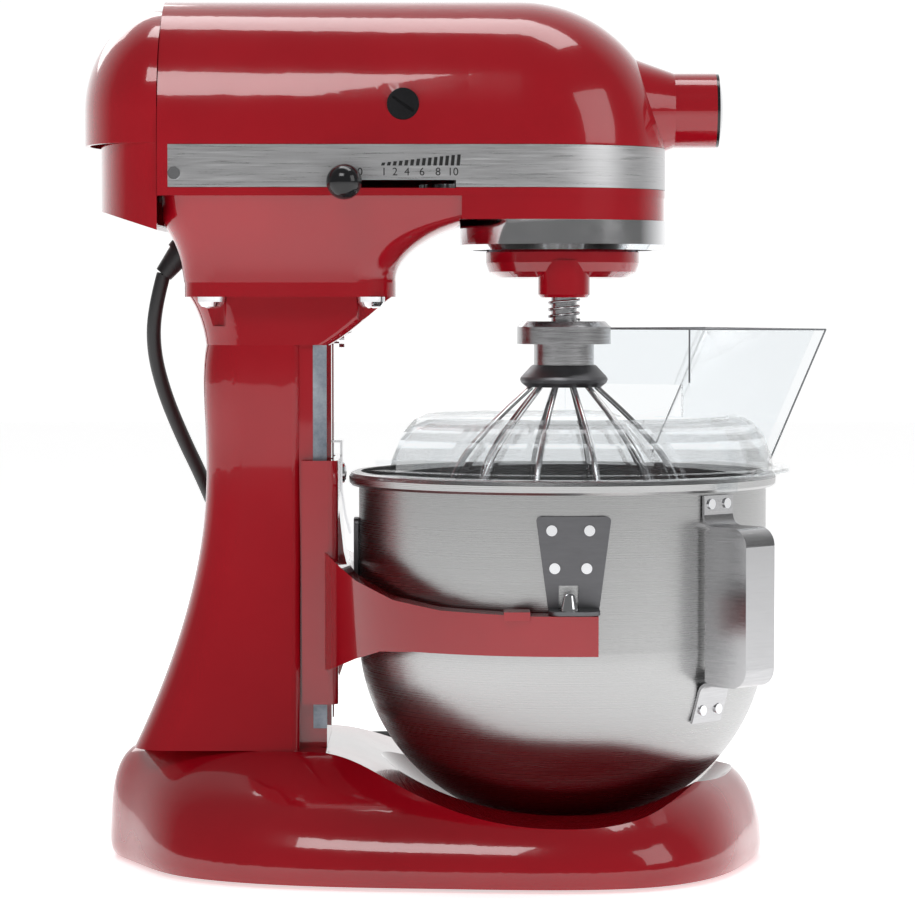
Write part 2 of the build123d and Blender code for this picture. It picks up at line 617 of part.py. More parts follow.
def bowl_handle():
    """A strap folded from sheet, with a deep cheek on one edge and a shallow one on the other."""
    path = FilletPolyline((99.8, 180.0), (99.8, HANDLE_TOP), (HANDLE_OUT, HANDLE_TOP), (HANDLE_OUT, HANDLE_BOTTOM),
                          (98.6, HANDLE_BOTTOM), (92.6, 73.0), radius=(6.0, 8.0, 8.0, 6.0))
    strap = Pos(0, HANDLE_HALF, 0) * extrude(Plane.XZ * trace(path, 1.4), 2 * HANDLE_HALF)
    top = HANDLE_TOP - 0.4
    low = HANDLE_BOTTOM + 0.4
    out = HANDLE_OUT - 0.4
    outline = ((101.0, top - 1), (104, top), (out - 7, top), (out - 2, top - 2), (out, top - 7), (out, low + 7),
               (out - 2, low + 2), (out - 7, low), (103, low), (101.0, low + 1))
    cheek = side_plate(outline, -HANDLE_HALF, -HANDLE_HALF + 1.2)
    far = side_plate(outline, HANDLE_HALF - 1.2, HANDLE_HALF) - box(90, 118.5, -20, 20, 60, 200)
    handle = strap + cheek + far
    handle -= bowl_form(-0.05)
    for t in (-5.5, 5.5):
        handle -= rod((90, t, HANDLE_RIVET_TOP), (110, t, HANDLE_RIVET_TOP), 1.6)
        handle -= rod((88, t, HANDLE_RIVET_LOW), (98, t, HANDLE_RIVET_LOW), 1.6)
        handle -= rod((95.4, t, HANDLE_RIVET_LOW), (98, t, HANDLE_RIVET_LOW), 2.5)
    return on_handle(handle)


def bowl_brackets():
    """Riveted side plates with a bent lip that sits on the yoke's arm around the pin."""
    outline = ((AX - 15.1, 171.7), (AX + 19.7, 171.7), (AX + 14, 128.0), (AX - 9.3, 128.0))
    plate = side_plate(outline, 99.3, 101.1)
    plate = fillet(plate.edges().filter_by(Axis.Y).group_by(Axis.Z)[-1], 2)
    lip = box(AX - 9.3, AX + 14, 99.3, 120.5, ARM_TOP + 0.2, ARM_TOP + 2.0)
    lip = fillet(lip.edges().filter_by(Axis.Z).group_by(Axis.Y)[-1], 6)
    bracket = plate + lip
    bracket -= rod((AX, PIN_Y, ARM_TOP - 1), (AX, PIN_Y, ARM_TOP + 3), 4.6)
    bracket -= box(AX - 4.6, AX + 4.6, 98, 104, ARM_TOP - 2, 140)
    for x, z in BRACKET_RIVETS:
        bracket -= rod((x, 90, z), (x, 110, z), 1.6)
    return both_sides(bracket)


BRACKET_RIVETS = ((AX - 7.8, 165.3), (AX + 9.6, 165.3), (AX - 6.4, 147.9), (AX + 8.3, 147.9))


def bowl_rivets():
    """Rivets through the bowl wall for the handle, the side plates and the rear plate."""
    rivets = []
    for x, z in BRACKET_RIVETS:
        wall = math.sqrt(BOWL_R ** 2 - (x - AX) ** 2) + 0.3
        shank = rod((x, wall, z), (x, 101.1, z), 1.55)
        head = rod((x, 101.1, z), (x, 101.9, z), 2.5)
        rivets.extend(both_sides(shank + head))
    for t in (-5.5, 5.5):
        top = rod((99.0, t, HANDLE_RIVET_TOP), (100.5, t, HANDLE_RIVET_TOP), 1.55)
        top += rod((100.5, t, HANDLE_RIVET_TOP), (101.3, t, HANDLE_RIVET_TOP), 2.4)
        low = rod((94.6, t, HANDLE_RIVET_LOW), (95.4, t, HANDLE_RIVET_LOW), 1.55)
        low += rod((95.4, t, HANDLE_RIVET_LOW), (96.3, t, HANDLE_RIVET_LOW), 2.4)
        rivets.append(on_handle(top - bowl_form(-0.05)))
        rivets.append(on_handle(low - bowl_form(-0.05)))
    return rivets


def chute_section(points, z):
    return Pos(AX, 0, z) * make_face(Polyline(*points, close=True))


CHUTE_LOW = ((64, 31), (101, 16), (47, 90), (-1, 68))
CHUTE_TOP = ((64, 31), (129, 6), (78, 112), (-1, 68))
SHIELD_LOW = BOWL_RIM + 0.3
CHUTE_RIM = 257.0
SHIELD_SHIFT = 3.0


def shield():
    """Clear ring over the bowl, open at the back, with a pouring chute."""
    low = SHIELD_LOW
    ring = turned(((107.5, low), (107.5, low + 2.2), (99.5, low + 2.4), (98.4, low + 8.0), (95.4, low + 16.5),
                   (90.5, low + 23.0), (84.5, low + 26.2), (78.0, low + 26.8), (78.0, low + 24.8),
                   (84.0, low + 24.2), (89.2, low + 21.4), (93.6, low + 15.6), (96.5, low + 7.6), (97.4, low)),
                  SHIELD_SHIFT, 0)
    inside = turned(((0, 150), (97.4, 150), (97.4, low), (96.5, low + 7.6), (93.6, low + 15.6),
                     (89.2, low + 21.4), (84.0, low + 24.2), (0, low + 24.8)), SHIELD_SHIFT, 0)
    ring = Pos(AX, 0, 0) * ring
    inside = Pos(AX, 0, 0) * inside
    outer = loft([chute_section(CHUTE_LOW, low), chute_section(CHUTE_TOP, CHUTE_RIM)], ruled=True)
    small_low = offset(make_face(Polyline(*CHUTE_LOW, close=True)), -2.0)
    small_top = offset(make_face(Polyline(*CHUTE_TOP, close=True)), -2.0)
    inner = loft([Pos(AX, 0, low - 3) * small_low, Pos(AX, 0, CHUTE_RIM + 2) * small_top], ruled=True)
    gap = box(AX - 130, AX - 40, -50, 50, 150, 260)
    walls = outer - inside - inner
    throat = Pos(AX + 31.5, 49.5, 221.0) * Rot(0, 0, -29.7) * Box(66.0, 9.0, 16.0)
    lug = Rot(0, 0, HANDLE_AZIMUTH) * box(104.5, 107.0, -6, 6, low - 7.0, low + 1.0)
    clear = rod((AX, 0, 150), (AX, 0, 229.0), 64.0)
    return (ring - gap - inner) + (walls - throat - clear) + Pos(AX, 0, 0) * lug


def bowl_parts():
    save("bowl", bowl())
    save("bowl_handle", bowl_handle())
    save("bowl_rivets", *bowl_rivets())
    plate = box(AX - 101.4, AX - 99.2, -9, 9, 127, 165)
    plate = fillet(plate.edges().filter_by(Axis.X), 3)
    save("bowl_brackets", *bowl_brackets(), plate)
    save("pouring_shield", shield())


# ---------------------------------------------------------------- drip ring, planetary, beater, whisk
def planetary_parts():
    save("drip_ring", turned(((RING_R, RING_Z), (RING_R, RING_LOW + 2.6), (RING_R - 2.4, RING_LOW),
                              (43.6, RING_LOW), (43.6, RING_LOW + 1.6), (RING_R - 3.0, RING_LOW + 1.8),
                              (RING_R - 1.6, RING_LOW + 3.4), (RING_R - 1.6, RING_Z)), AX, 0))
    ring = Pos(AX, 0, 299.0) * ring_gear_solid(RING_TEETH, 42.0, RING_Z - 299.0)
    save("ring_gear", ring)

    hub = turned(((0, 300.5), (12.0, 300.5), (12.0, 296.8), (34.0, 296.8), (PLANET_R, 294.0), (PLANET_R, 289.0),
                  (PLANET_R - 1.6, 284.6), (PLANET_R - 6.0, 281.9), (22.0, 281.2), (0, 281.2)), AX, 0)
    boss = turned(((0, 290), (12.4, 290), (12.4, 273.6), (11.2, 272.2), (0, 272.2)), AX, -BEATER_OFFSET)
    body = hub + boss
    body -= rod((AX, 0, 286), (AX, 0, 302), PLANET_SHAFT_R + 0.02)
    body -= rod((AX, -BEATER_OFFSET, 270), (AX, -BEATER_OFFSET, 302), SHAFT_R + 0.05)
    body -= rod((AX, -20, 297.0 - 5.4), (AX, 20, 297.0 - 5.4), 1.6)
    save("planetary", body)
    shaft = rod((AX, 0, 286.2), (AX, 0, 353.0), PLANET_SHAFT_R) - rod((AX, -20, 291.6), (AX, 20, 291.6), 1.6)
    save("planetary_shaft", shaft, rod((AX, -19.5, 291.6), (AX, 19.5, 291.6), 1.55))
    bush = tube((AX, 0, 301.5), (AX, 0, RING_Z + WALL + 1), SHAFT_BORE_R, PLANET_SHAFT_R + 0.05)
    save("planetary_bush", bush)
    bevel = turned(((PLANET_SHAFT_R + 0.02, 340.0), (10.0, 340.0), (14.6, 347.2), (8.1, 353.8),
                    (PLANET_SHAFT_R + 0.02, 353.8)), AX, 0)
    gear = Rot(0, 0, CENTRE_PHASE) * spur_gear(CENTRE_TEETH, PLANET_SHAFT_R + 0.02, 8.0)
    save("centre_gear", Pos(AX, 0, 318.0) * gear, bevel)

    beater_x, beater_y = AX, -BEATER_OFFSET
    stem = rod((beater_x, beater_y, SHAFT_END), (beater_x, beater_y, 308.0), SHAFT_R)
    stem -= rod((beater_x - 20, beater_y, 254.0), (beater_x + 20, beater_y, 254.0), 1.52)
    save("beater_shaft", stem, rod((beater_x - 9.0, beater_y, 254.0), (beater_x + 9.0, beater_y, 254.0), 1.5))
    pinion = Rot(0, 0, PINION_PHASE) * spur_gear(PINION_TEETH, SHAFT_R + 0.02, 8.0)
    save("agitator_pinion", Pos(beater_x, beater_y, 299.6) * pinion)
    coil = Helix(3.2, 9.6, SHAFT_R + 1.05, center=(0, 0, 0))
    wire = sweep(Plane(origin=coil @ 0, z_dir=coil % 0) * Circle(0.62), coil)
    save("beater_spring", Pos(beater_x, beater_y, 261.6) * wire)


def soft_radii(points):
    """The largest fillet at each corner of a route: 0.45 of the shorter run over tan(half turn)."""
    radii = []
    places = [Vector(*point) for point in points]
    for before, here, after in zip(places, places[1:], places[2:]):
        turn = (here - before).get_angle(after - here)
        run = min((here - before).length, (after - here).length)
        radii.append(0.45 * run / math.tan(math.radians(turn / 2)))
    return radii


def along(points, radius):
    """A round tube of straight runs joined by tangent arcs, and the route's length."""
    path = FilletPolyline(*points, radius=soft_radii(points))
    section = Plane(origin=path @ 0, z_dir=path % 0) * Circle(radius)
    return sweep(section, path), path.length


def whisk_route(low):
    """One loop of the whisk in the X-Z plane, from hole to hole."""
    half = ((16.2, 229.4), (33.0, 214.5), (53.0, 193.0), (WHISK_R, 166.0), (57.0, 138.0), (42.0, low + 10.0),
            (16.0, low))
    points = [(-x, 0, z) for x, z in half] + [(x, 0, z) for x, z in reversed(half)]
    return points


def whisk_parts():
    x, y = AX, -BEATER_OFFSET
    bore = SHAFT_R + 0.05
    hub = turned(((0, 239.9), (WHISK_NECK_R, 239.9), (WHISK_NECK_R, 252.0), (20.6, 252.0), (20.9, 250.0),
                  (COLLAR_R, 250.0), (COLLAR_R, 258.2), (COLLAR_R - 2.6, COLLAR_TOP), (0, COLLAR_TOP)), x, y)
    hub -= rod((x, y, SHAFT_END - 5.0), (x, y, COLLAR_TOP + 1), bore)
    hub -= tube((x, y, 248.2), (x, y, 256.2), 9.6, bore - 0.1)
    hub -= Pos(x, y, 259.0) * Box(19.2, 3.6, 6.0)
    save("whisk_hub", hub)
    ferrule = turned(((0, 229.4), (17.9, 229.4), (20.4, 231.4), (21.1, 233.0), (20.6, 234.2), (16.0, 239.2),
                      (15.2, 239.9), (0, 239.9)), x, y)
    save("whisk_ferrule", ferrule)
    loops = []
    for index in range(WHISK_LOOPS):
        wire, _ = along(whisk_route(WHISK_LOW + 2.7 * index), WHISK_WIRE_R)
        wire -= box(-30, 30, -5, 5, 229.35, 240)
        loops.append(Pos(x, y, 0) * Rot(0, 0, 180.0 / WHISK_LOOPS * (index + 0.5)) * wire)
    save("whisk_wires", *loops)


# ---------------------------------------------------------------- motor and gear train
def along_x(profile, y=0.0):
    """A solid turned about the motor's axis, from (x, radius) points."""
    outline = make_face(Polyline(*[(x, radius, 0) for x, radius in profile], close=True))
    return Pos(0, y, MOTOR_Z) * revolve(outline, Axis.X)


def armature_slots(radius, count, x0, x1):
    """Slots along a rotor's rim."""
    slots = []
    for index in range(count):
        slot = box(x0 - 1, x1 + 1, -0.9, 0.9, radius - 7, radius + 1)
        slots.append(Pos(0, 0, MOTOR_Z) * Rot(360.0 / count * index, 0, 0) * slot)
    return slots


def motor_parts():
    core = along_x(((-98, 4.02), (-98, 22.0), (-50, 22.0), (-50, 4.02)))
    core -= armature_slots(22.0, 12, -98, -50)
    windings = [along_x(((-49.9, 6.0), (-49.9, 19.0), (-42.9, 16.0), (-42.9, 6.0))),
                along_x(((-98.1, 6.0), (-98.1, 19.0), (-105.0, 16.0), (-105.0, 6.0)))]
    save("armature_core", core, *windings)
    commutator = along_x(((-38, 4.02), (-38, 12.0), (-24, 12.0), (-24, 4.02)))
    commutator -= [Pos(0, 0, MOTOR_Z) * Rot(15.0 * i, 0, 0) * box(-39, -23, -0.3, 0.3, 11.0, 13.0)
                   for i in range(24)]
    save("commutator", commutator)
    fan = along_x(((-114, 4.02), (-114, 26.0), (-112.8, 26.0), (-112.8, 8.0), (-107.5, 8.0), (-107.5, 4.02)))
    for index in range(9):
        blade = box(-112.9, -107.5, -0.6, 0.6, 7.5, 25.0)
        fan += Pos(0, 0, MOTOR_Z) * Rot(40.0 * index, 0, 0) * blade
    save("cooling_fan", fan)
    stator = box(-96, -52, -40, 40, MOTOR_Z - 36, MOTOR_Z + 34)
    stator = fillet(stator.edges().filter_by(Axis.X), 24)
    stator -= rod((-97, 0, MOTOR_Z), (-51, 0, MOTOR_Z), 22.8)
    coils = []
    for x0, x1 in ((-103.0, -96.1), (-51.9, -44.5)):
        ring = tube((x0, 0, MOTOR_Z), (x1, 0, MOTOR_Z), 33.0, 26.8)
        coils.append(ring)
    save("stator", stator, *coils)
    supports = [tube((-19.4, 0, MOTOR_Z), (-16.4, 0, MOTOR_Z), FRONT_BEARING_R, 4.03)]
    supports += [tube((-121, 0, MOTOR_Z), (-115.2, 0, MOTOR_Z), 9.0, 4.03)]
    for x0, x1, radius in ((-19.4, -16.4, FRONT_BEARING_R), (-121, -117, 9.0)):
        bracket = box(x0, x1, -43.5, 43.5, MOTOR_Z - 18, MOTOR_Z + 19)
        supports.append(bracket - rod((x0 - 1, 0, MOTOR_Z), (x1 + 1, 0, MOTOR_Z), radius + 0.02))
    save("armature_bearings", *supports)
    worm = along_x(((-11.0, 4.02), (-11.0, 5.6), (11.0, 5.6), (11.0, 4.02)))
    for index in range(6):
        x = -10.0 + 3.6 * index
        worm += along_x(((x, 5.5), (x + 0.7, 7.0), (x + 1.3, 7.0), (x + 2.0, 5.5)))
    save("armature_shaft", rod((-118, 0, MOTOR_Z), (13.5, 0, MOTOR_Z), 4.0), worm)
    brushes = []
    holders = []
    caps = []
    for side in (-1, 1):
        y = side * 1.0
        brushes.append(box(BRUSH_X - 3.6, BRUSH_X + 3.0, y * 12.3, y * 26.0, MOTOR_Z - 3, MOTOR_Z + 3))
        holder = rod((BRUSH_X, y * 15.0, MOTOR_Z), (BRUSH_X, y * 49.4, MOTOR_Z), 6.0)
        holder -= box(BRUSH_X - 3.7, BRUSH_X + 3.1, y * 10.0, y * 52.0, MOTOR_Z - 3.1, MOTOR_Z + 3.1)
        holders.append(holder)
        cap = rod((BRUSH_X, y * 50.6, BRUSH_Z), (BRUSH_X, y * 56.9, BRUSH_Z), BRUSH_CAP_R)
        cut = Pos(BRUSH_X, y * 56.5, BRUSH_Z) * Rot(0, 35, 0) * Box(12.0, 2.4, 1.5)
        caps.append(cap - cut)
    save("brush_holders", *holders, *brushes)
    save("brush_caps", *caps)


def gear_train():
    x, y = WORM_X, WORM_Y
    phase = math.degrees(math.atan2(-y, AX - x))
    turn = phase - 180.0 / COUNTER_TEETH
    shaft = rod((x, y, RING_Z + WALL + 0.1), (x, y, 389.0), 4.5)
    pinion = Rot(0, 0, turn) * spur_gear(COUNTER_TEETH, 4.52, 8.0)
    save("worm_gear_shaft", shaft, Pos(x, y, 318.0) * pinion)
    wheel = extrude(Circle(16.6), 9.0) - extrude(Circle(4.52), 9.0)
    pitch = 360.0 / WORM_TEETH
    wheel -= [Rot(0, 0, pitch * i) * box(15.4, 17.5, -0.8, 0.8, -1, 10) for i in range(WORM_TEETH)]
    save("worm_gear", Pos(x, y, MOTOR_Z - 4.5) * wheel)
    save("hub_drive", hub_drive())


def hub_drive():
    """Bevel gear on the hub's axis with a square socket towards the hub."""
    outline = make_face(Polyline((59.2, 0), (59.2, 7.9), (66.3, 14.8), (73.5, 10.0), (87.0, 10.0), (87.0, 0),
                                 close=True))
    gear = Pos(0, 0, HUB_Z) * revolve(outline, Axis.X)
    return gear - box(74.0, 88.0, -4.8, 4.8, HUB_Z - 4.8, HUB_Z + 4.8)


# ---------------------------------------------------------------- knobs, cap and controls
def control_parts():
    save("control_plate", box(-104, -44, -49.5, 49.5, 314.0, 316.0) & lower_outer(WALL + 0.2))
    lever = box(LEVER_X - 1.5, LEVER_X + 1.5, -67.0, -40.0, LEVER_Z - 1.2, LEVER_Z + 1.2)
    save("speed_lever", lever)
    ball = Pos(LEVER_X, -73.0, LEVER_Z + 0.5) * Sphere(8.3)
    ball += rod((LEVER_X, -66.6, LEVER_Z), (LEVER_X, -61.0, LEVER_Z), 3.6)
    ball -= box(LEVER_X - 1.55, LEVER_X + 1.55, -67.0, -50.0, LEVER_Z - 1.25, LEVER_Z + 1.25)
    save("speed_knob", ball)
    ring = tube((HUB_END, 0, HUB_Z), (HUB_END + 1.4, 0, HUB_Z), HUB_R - 0.3, 15.5)
    save("hub_ring", ring)
    dome = make_face(Polyline((HUB_END + 0.2, 0), (HUB_END + 0.2, 15.2), (HUB_END + 1.6, 15.2),
                              (HUB_END + 2.6, 12.6), (HUB_END + 3.4, 8.0), (HUB_END + 3.8, 0), close=True))
    save("hub_cap", Pos(0, 0, HUB_Z) * revolve(dome, Axis.X))
    knob_z = HUB_Z
    grip = rod((HUB_KNOB_X, 20.5, knob_z), (HUB_KNOB_X, 32.5, knob_z), 9.5)
    grip -= [Pos(HUB_KNOB_X, 26.5, knob_z) * Rot(0, 45.0 * i, 0) * Pos(10.8, 0, 0) * Rot(90, 0, 0)
             * Cylinder(2.2, 14) for i in range(8)]
    grip -= rod((HUB_KNOB_X, 20, knob_z), (HUB_KNOB_X, 27.0, knob_z), 3.02)
    screw = rod((HUB_KNOB_X, HUB_BORE_R + 0.3, knob_z), (HUB_KNOB_X, 27.0, knob_z), 3.0)
    save("attachment_knob", grip, screw)
    screws = []
    for side in (-1, 1):
        start = (BAND_REAR + 3, side * (HEAD_HALF - 5), BAND_SCREW_Z)
        seat = (BAND_REAR + 3, side * HEAD_HALF, BAND_SCREW_Z)
        top = (BAND_REAR + 3, side * (HEAD_HALF + 1.2), BAND_SCREW_Z)
        screws.append(rod(start, seat, 1.15) + rod(seat, top, 3.0))
    save("head_screws", *screws)


# ---------------------------------------------------------------- cord
CORD_ROUTE = (
    (-142.9, 0.0, 283.5), (-147.6, 2.0, 267.0), (-148.8, 8.0, 247.0), (-144.6, 18.0, 226.0), (-136.8, 30.0, 204.0),
    (-128.0, 43.5, 183.0), (-120.5, 58.0, 162.0), (-118.5, 72.0, 140.0), (-122.5, 86.0, 117.0),
    (-130.5, 99.0, 94.0), (-139.0, 110.0, 70.0), (-142.5, 121.0, 46.0), (-136.0, 133.5, 24.5),
    (-119.0, 145.0, 9.0), (-95.0, 151.5, 3.5), (-64.0, 150.5, 3.5), (-30.0, 152.5, 3.5))
COIL_X = -30.0
COIL_Y = 190.0
COIL_R = 37.5
COIL_TURNS = 4
TAIL_ROUTE = ((-30.0, 152.5, 31.5), (-8.0, 152.5, 29.5), (12.0, 153.5, 21.5), (32.0, 155.5, 11.5), (52.0, 156.0, 8.0))


def cord_parts():
    """Strain relief, the free runs of the cord, its coil, tie and plug."""
    root = Vector(-132.2, 0, 297.0)
    end = Vector(*CORD_ROUTE[0])
    plane = Plane(origin=root, z_dir=end - root)
    reach = (end - root).length
    flange = extrude(Pos(0, 0, 1.5) * Circle(7.0), 3.0)
    sleeve = loft([Pos(0, 0, 3.0) * Circle(6.2), Pos(0, 0, reach) * Circle(CORD_R + 0.9)])
    relief = plane * (flange + sleeve) - lower_outer(0.0)
    save("strain_relief", relief)
    tube_one, length_one = along(CORD_ROUTE, CORD_R)
    tube_two, length_two = along(TAIL_ROUTE, CORD_R)
    height = 2 * CORD_R * (COIL_TURNS + 1)
    coil = tube((COIL_X, COIL_Y, 0), (COIL_X, COIL_Y, height), COIL_R + CORD_R, COIL_R - CORD_R)
    save("cord", tube_one - coil, tube_two - coil)
    save("cord_coil", coil)
    tie = box(COIL_X - 5, COIL_X + 5, COIL_Y + COIL_R - 5.2, COIL_Y + COIL_R + 5.2, 0, height + 1.4) - coil
    save("cord_tie", tie)
    x, y, z = TAIL_ROUTE[-1]
    body = box(x, x + 34, y - 9, y + 9, 0.6, 15.4)
    body = fillet(body.edges().filter_by(Axis.X), 4)
    body -= rod((x + 29, y - 4.6, z), (x + 35, y - 4.6, z), 2.42) + rod((x + 29, y + 4.6, z), (x + 35, y + 4.6, z), 2.42)
    save("plug", body, *[rod((x + 29.5, y + s * 4.6, z), (x + 53, y + s * 4.6, z), 2.4) for s in (-1, 1)])
    total = length_one + length_two + 2 * math.pi * COIL_R * COIL_TURNS
    print("cord length", round(total), "mm, free runs", round(length_one), round(length_two))
    print("cord radii", [round(r) for r in soft_radii(CORD_ROUTE) + soft_radii(TAIL_ROUTE)])
    print("cord volume over section times length", round(tube_one.volume / (math.pi * CORD_R ** 2 * length_one), 4))


def head_parts():
    """Castings, cover and band."""
    save("upper_housing", *upper_housing())
    save("lower_housing", lower_housing())
    save("rear_cover", rear_cover())
    save("trim_band", trim_band())


head_parts()
column_parts()
base_parts()
yoke_parts()
lift_parts()
bowl_parts()
planetary_parts()
whisk_parts()
motor_parts()
gear_train()
control_parts()
cord_parts()
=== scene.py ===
"""Materials, cord, light and camera of a bowl-lift stand mixer."""
import math

import bpy
import bmesh
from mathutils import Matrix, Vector


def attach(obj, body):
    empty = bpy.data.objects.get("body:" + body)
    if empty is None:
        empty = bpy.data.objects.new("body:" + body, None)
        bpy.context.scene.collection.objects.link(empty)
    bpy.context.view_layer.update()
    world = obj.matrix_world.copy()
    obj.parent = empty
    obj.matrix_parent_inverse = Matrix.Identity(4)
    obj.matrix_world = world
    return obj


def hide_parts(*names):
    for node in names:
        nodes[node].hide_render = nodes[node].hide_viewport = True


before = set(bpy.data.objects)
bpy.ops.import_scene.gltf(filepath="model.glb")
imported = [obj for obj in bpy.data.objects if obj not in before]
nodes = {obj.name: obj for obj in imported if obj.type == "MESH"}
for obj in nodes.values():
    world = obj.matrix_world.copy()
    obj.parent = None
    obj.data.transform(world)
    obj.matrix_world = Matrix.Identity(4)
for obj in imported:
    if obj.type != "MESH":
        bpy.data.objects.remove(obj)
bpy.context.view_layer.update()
AX = 0.051


# ---------------------------------------------------------------- camera
camera_data = bpy.data.cameras.new("camera")
camera = bpy.data.objects.new("camera", camera_data)
bpy.context.scene.collection.objects.link(camera)
CAMERA_PLACE = (0.0, -1.680, 0.271)
CAMERA_TILT = 2.49             # degrees below level
CAMERA_LENS = 135.738          # mm, on a sensor 36 mm wide
camera.location = CAMERA_PLACE
camera.rotation_euler = (math.radians(90 - CAMERA_TILT), 0, 0)
camera_data.sensor_width = 36.0
camera_data.lens = CAMERA_LENS
camera_data.clip_start = 0.1
bpy.context.scene.camera = camera


# ---------------------------------------------------------------- cord
def nurbs(name, points, radius):
    """A round tube along a smooth curve with these control points."""
    data = bpy.data.curves.new(name, "CURVE")
    data.dimensions = "3D"
    data.bevel_depth = 1.0
    data.bevel_resolution = 5
    data.resolution_u = 10
    data.use_fill_caps = True
    spline = data.splines.new("NURBS")
    spline.points.add(len(points) - 1)
    for slot, point in zip(spline.points, points):
        slot.co = (*point, 1.0)
        slot.radius = radius
    spline.order_u = 3
    spline.use_endpoint_u = True
    item = bpy.data.objects.new(name, data)
    bpy.context.scene.collection.objects.link(item)
    return item


CORD_ROUTE = (
    (-142.9, 0.0, 283.5), (-147.6, 2.0, 267.0), (-148.8, 8.0, 247.0), (-144.6, 18.0, 226.0), (-136.8, 30.0, 204.0),
    (-128.0, 43.5, 183.0), (-120.5, 58.0, 162.0), (-118.5, 72.0, 140.0), (-122.5, 86.0, 117.0),
    (-130.5, 99.0, 94.0), (-139.0, 110.0, 70.0), (-142.5, 121.0, 46.0), (-136.0, 133.5, 24.5),
    (-119.0, 145.0, 9.0), (-95.0, 151.5, 3.6), (-64.0, 150.5, 3.6), (-40.0, 151.5, 3.6))
COIL = (-30.0, 190.0, 37.5, 4)     # centre x and y, radius, turns
COIL_STEPS = 14                    # points in each turn
CORD_D = 0.007
GROUND_RISE = 3.6                  # centre of the lowest turn above the ground
TURN_RISE = 7.05                   # one turn above the next
TAIL_ROUTE = ((-20.0, 152.3, 31.5), (-4.0, 152.5, 28.5), (12.0, 153.5, 21.5), (32.0, 155.5, 11.5), (52.0, 156.0, 8.0))


def cord_points():
    """The whole route in metres: down to the ground, round the coil and on to the plug."""
    x, y, radius, turns = COIL
    steps = COIL_STEPS
    swell = 1.0 / math.cos(math.pi / steps) ** 0.5
    points = list(CORD_ROUTE)
    for index in range(turns * steps):
        angle = math.radians(-90.0) + 2 * math.pi * (index + 0.5) / steps
        rise = GROUND_RISE + TURN_RISE * (index + 0.5) / steps
        points.append((x + radius * swell * math.cos(angle), y + radius * swell * math.sin(angle), rise))
    points.extend(TAIL_ROUTE)
    return [(px / 1000, py / 1000, pz / 1000) for px, py, pz in points]


route = cord_points()
cord = nurbs("mains_cord", route, CORD_D / 2)


def curve_length(item):
    """Length of the curve's own line."""
    plain = item.data.copy()
    plain.bevel_depth = 0
    ghost = bpy.data.objects.new("ghost", plain)
    mesh = bpy.data.meshes.new_from_object(ghost)
    total = sum((mesh.vertices[e.vertices[0]].co - mesh.vertices[e.vertices[1]].co).length for e in mesh.edges)
    bpy.data.meshes.remove(mesh)
    bpy.data.objects.remove(ghost)
    bpy.data.curves.remove(plain)
    return total


cord_length = curve_length(cord)
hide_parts("cord", "cord_coil")
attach(cord, "mixer")


# ---------------------------------------------------------------- node helpers
class Paint:
    """A small builder for one procedural material."""

    def __init__(self, name):
        self.material = bpy.data.materials.new(name)
        self.material.use_nodes = True
        self.tree = self.material.node_tree
        self.shader = self.tree.nodes["Principled BSDF"]
        self.place = self.node("ShaderNodeTexCoord").outputs["Object"]

    def node(self, kind, **values):
        made = self.tree.nodes.new(kind)
        for key, value in values.items():
            setattr(made, key, value)
        return made

    def link(self, source, target):
        self.tree.links.new(source, target)

    def put(self, **values):
        for key, value in values.items():
            self.shader.inputs[key.replace("_", " ")].default_value = value

    def noise(self, scale, stretch=(1, 1, 1), detail=3.0, rough=0.6):
        """A noise value, stretched along the axes."""
        mapping = self.node("ShaderNodeMapping")
        mapping.inputs["Scale"].default_value = stretch
        self.link(self.place, mapping.inputs["Vector"])
        grain = self.node("ShaderNodeTexNoise")
        grain.inputs["Scale"].default_value = scale
        grain.inputs["Detail"].default_value = detail
        grain.inputs["Roughness"].default_value = rough
        self.link(mapping.outputs["Vector"], grain.inputs["Vector"])
        return grain.outputs["Fac"]

    def span(self, value, low, high, start=0.3, end=0.7):
        """The value mapped onto low to high."""
        ranged = self.node("ShaderNodeMapRange")
        for key, number in (("From Min", start), ("From Max", end), ("To Min", low), ("To Max", high)):
            ranged.inputs[key].default_value = number
        self.link(value, ranged.inputs["Value"])
        return ranged.outputs["Result"]

    def blend(self, value, first, second):
        """A colour between two, by value."""
        mix = self.node("ShaderNodeMix", data_type="RGBA")
        mix.inputs["A"].default_value = (*first, 1)
        mix.inputs["B"].default_value = (*second, 1)
        self.link(value, mix.inputs["Factor"])
        return mix.outputs["Result"]

    def bump(self, value, strength, distance):
        made = self.node("ShaderNodeBump")
        made.inputs["Strength"].default_value = strength
        made.inputs["Distance"].default_value = distance
        self.link(value, made.inputs["Height"])
        self.link(made.outputs["Normal"], self.shader.inputs["Normal"])


def enamel():
    """Deep red enamel with faint orange peel under a clear coat."""
    paint = Paint("red_enamel")
    cloud = paint.noise(9.0, detail=4.0)
    colour = paint.blend(paint.span(cloud, 0.0, 1.0), (0.31, 0.0025, 0.009), (0.38, 0.0040, 0.012))
    paint.link(colour, paint.shader.inputs["Base Color"])
    paint.put(Metallic=0.0, Specular_IOR_Level=0.25, Coat_Weight=1.0, Coat_Roughness=0.03)
    paint.link(paint.span(paint.noise(40.0), 0.14, 0.2), paint.shader.inputs["Roughness"])
    paint.bump(paint.noise(260.0, detail=1.0), 0.05, 0.0003)
    return paint.material


